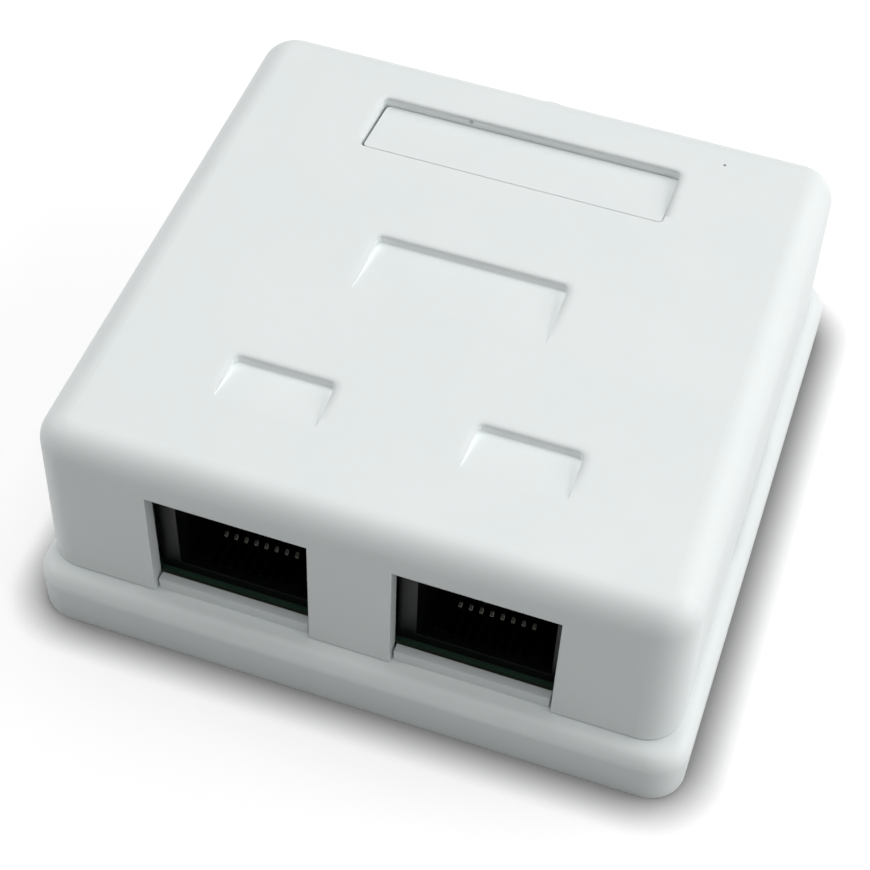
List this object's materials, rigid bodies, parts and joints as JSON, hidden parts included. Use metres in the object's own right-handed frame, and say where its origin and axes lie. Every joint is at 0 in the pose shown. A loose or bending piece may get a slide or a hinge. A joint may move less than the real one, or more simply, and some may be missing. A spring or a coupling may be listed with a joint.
{
  "type": "ethernet wall socket",
  "caption": "Surface-mounted data wall socket: screwed-on cover over a base, side-by-side eight-way ports, board with wiring blocks, and a lift-off label plate.",
  "frame": {"origin": "middle of the back face of the base, which lies on the wall", "axes": "+Z out of the wall, -Y the way the ports face, +X to the right when the ports face the viewer"},
  "size_m": [0.0632, 0.0636, 0.0241],
  "materials": {
    "shell_white": "satin",
    "jack_black": "satin",
    "contact_gold": "bright gold plating",
    "board_green": "solder mask",
    "block_plastic": "satin",
    "blade_tin": "tinned",
    "screw_steel": "zinc plated",
    "label_print": "film label"
  },
  "bodies": {
    "base": {"base": "shell_white", "circuit_board": "board_green", "board_screws": "screw_steel", "jack_housing_left": "jack_black", "jack_insert_left": "jack_black", "wiring_block_left": "block_plastic", "wiring_label_left": "label_print", "jack_contact_left_1": "contact_gold", "wiring_blade_left_1": "blade_tin", "jack_contact_left_2": "contact_gold", "wiring_blade_left_2": "blade_tin", "jack_contact_left_3": "contact_gold", "wiring_blade_left_3": "blade_tin", "jack_contact_left_4": "contact_gold", "wiring_blade_left_4": "blade_tin", "jack_contact_left_5": "contact_gold", "wiring_blade_left_5": "blade_tin", "jack_contact_left_6": "contact_gold", "wiring_blade_left_6": "blade_tin", "jack_contact_left_7": "contact_gold", "wiring_blade_left_7": "blade_tin", "jack_contact_left_8": "contact_gold", "wiring_blade_left_8": "blade_tin", "jack_housing_right": "jack_black", "jack_insert_right": "jack_black", "wiring_block_right": "block_plastic", "wiring_label_right": "label_print", "jack_contact_right_1": "contact_gold", "wiring_blade_right_1": "blade_tin", "jack_contact_right_2": "contact_gold", "wiring_blade_right_2": "blade_tin", "jack_contact_right_3": "contact_gold", "wiring_blade_right_3": "blade_tin", "jack_contact_right_4": "contact_gold", "wiring_blade_right_4": "blade_tin", "jack_contact_right_5": "contact_gold", "wiring_blade_right_5": "blade_tin", "jack_contact_right_6": "contact_gold", "wiring_blade_right_6": "blade_tin", "jack_contact_right_7": "contact_gold", "wiring_blade_right_7": "blade_tin", "jack_contact_right_8": "contact_gold", "wiring_blade_right_8": "blade_tin"},
    "cover": {"cover": "shell_white"},
    "label_plate": {"label_plate": "shell_white"},
    "cover_screw": {"cover_screw": "screw_steel"}
  },
  "joints": [
    {"name": "cover_lift", "type": "slide", "parent": "base", "child": "cover", "axis": [0, 0, 1], "range_m": [0, 0.025]},
    {"name": "label_plate_lift", "type": "slide", "parent": "cover", "child": "label_plate", "axis": [0, 0, 1], "range_m": [0, 0.006]},
    {"name": "cover_screw_turn", "type": "hinge", "parent": "cover", "child": "cover_screw", "pos_m": [0, 0.01905, 0.0205], "axis": [0, 0, 1], "continuous": true}
  ]
}
